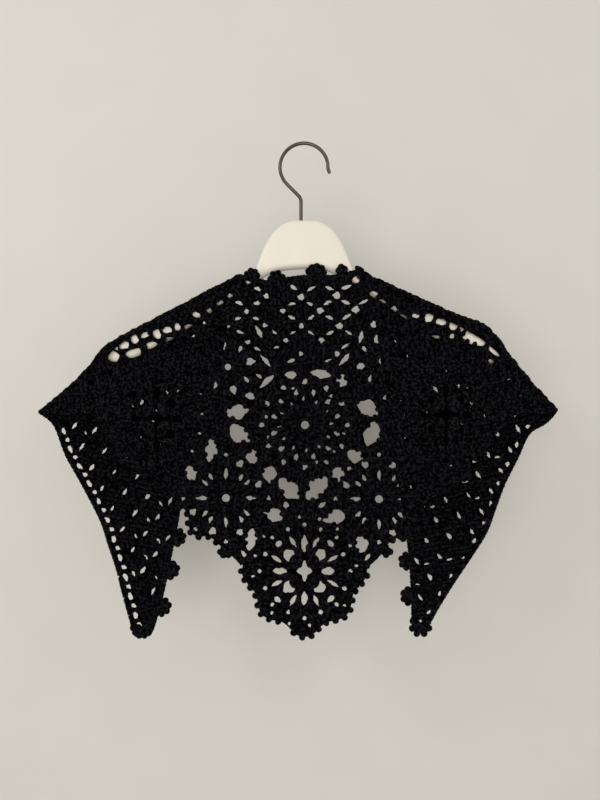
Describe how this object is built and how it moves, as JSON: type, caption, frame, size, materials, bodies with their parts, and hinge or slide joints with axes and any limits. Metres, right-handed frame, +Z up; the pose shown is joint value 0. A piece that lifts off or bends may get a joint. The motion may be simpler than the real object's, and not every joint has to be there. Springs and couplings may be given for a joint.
{
  "type": "crochet scarf on a hanger",
  "caption": "Triangular crochet lace scarf with flower motifs and a picot neck edge, folded over the arms of a plain hanger with its point in front and both tails behind.",
  "frame": {"origin": "the inner top of the hook's arc, where the hook sits on a rail", "axes": "+Z up, +X to the viewer's right along the hanger's arms, -Y out of the front, towards the viewer"},
  "size_m": [0.5179, 0.0589, 0.5041],
  "materials": {
    "crochet_yarn": "matte black cotton yarn, crocheted",
    "hanger_cream": "smooth satin cream",
    "hook_steel": "dark nickel wire"
  },
  "bodies": {
    "root": {"flower_neck_left": "crochet_yarn", "flower_neck_right": "crochet_yarn", "flower_middle": "crochet_yarn", "flower_low_left": "crochet_yarn", "flower_low_right": "crochet_yarn", "flower_shoulder_left": "crochet_yarn", "flower_shoulder_right": "crochet_yarn", "flower_point": "crochet_yarn", "ground_front": "crochet_yarn", "tail_left": "crochet_yarn", "tail_right": "crochet_yarn", "hanger_body": "hanger_cream", "hanger_hook": "hook_steel"}
  },
  "joints": []
}
